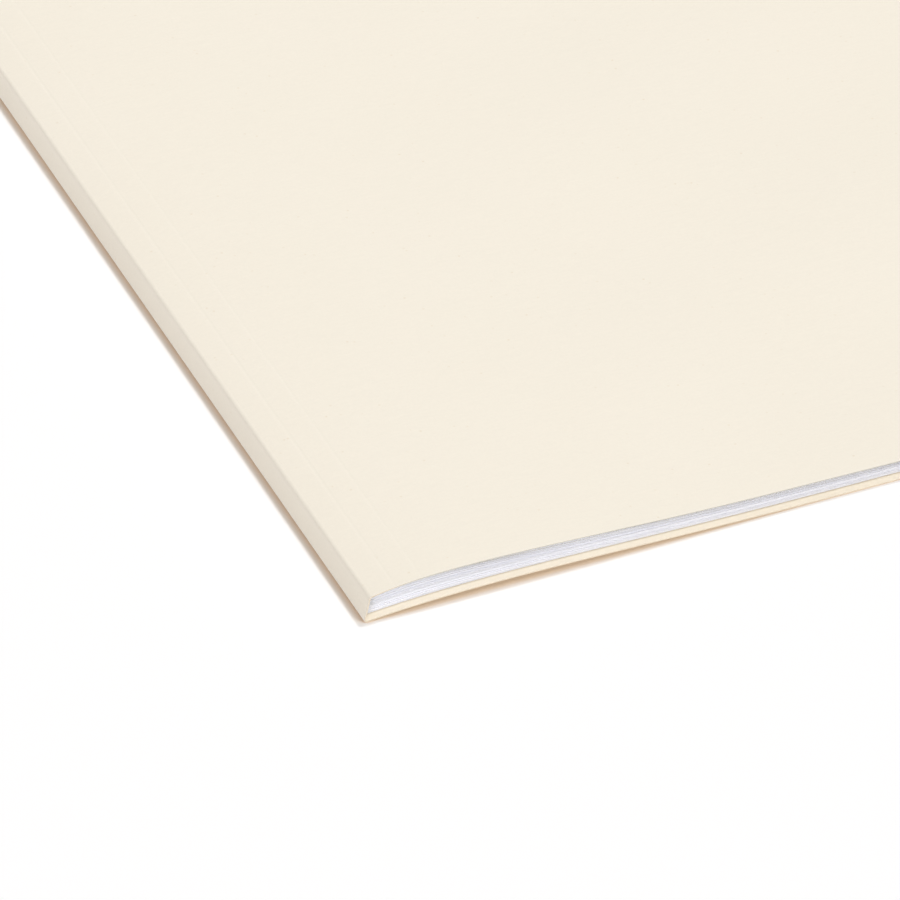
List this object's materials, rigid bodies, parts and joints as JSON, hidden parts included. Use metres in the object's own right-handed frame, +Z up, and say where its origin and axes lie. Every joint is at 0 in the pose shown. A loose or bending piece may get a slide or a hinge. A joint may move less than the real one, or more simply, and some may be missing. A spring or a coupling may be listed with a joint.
{
  "type": "file folder",
  "caption": "Manila file folder with a squared spine and a centre tab, lying closed on a sheaf of loose letter-size paper.",
  "frame": {"origin": "centre of the bounding box's underside, on the table", "axes": "+X from the fold to the tab, +Y along the fold, +Z up from the table through the closed folder"},
  "size_m": [0.2414, 0.2954, 0.0084],
  "materials": {
    "card": "matt uncoated manila card",
    "sheet": "matt bluish white office paper"
  },
  "bodies": {
    "back": {"back_leaf": "card", "back_crease": "card"},
    "spine": {"spine": "card", "front_crease": "card"},
    "front": {"front_leaf": "card"},
    "sheaf": {"sheet_01": "sheet", "sheet_02": "sheet", "sheet_03": "sheet", "sheet_04": "sheet", "sheet_05": "sheet", "sheet_06": "sheet", "sheet_07": "sheet", "sheet_08": "sheet", "sheet_09": "sheet", "sheet_10": "sheet", "sheet_11": "sheet", "sheet_12": "sheet", "sheet_13": "sheet", "sheet_14": "sheet", "sheet_15": "sheet", "sheet_16": "sheet", "sheet_17": "sheet", "sheet_18": "sheet", "sheet_19": "sheet", "sheet_20": "sheet", "sheet_21": "sheet", "sheet_22": "sheet", "sheet_23": "sheet", "sheet_24": "sheet", "sheet_25": "sheet", "sheet_26": "sheet", "sheet_27": "sheet", "sheet_28": "sheet", "sheet_29": "sheet", "sheet_30": "sheet"}
  },
  "joints": [
    {"name": "spine_fold", "type": "hinge", "parent": "back", "child": "spine", "pos_m": [-0.12059, 0, 0.00018], "axis": [0, -1, 0], "range_deg": [0, 82], "deforming": ["back_crease"]},
    {"name": "front_fold", "type": "hinge", "parent": "spine", "child": "front", "pos_m": [-0.11922, 0, 0.00613], "axis": [0, -1, 0], "range_deg": [0, 98], "deforming": ["front_crease"]},
    {"name": "sheaf_slide", "type": "slide", "parent": "back", "child": "sheaf", "axis": [0, 1, 0], "range_m": [-0.285, 0.295]}
  ]
}
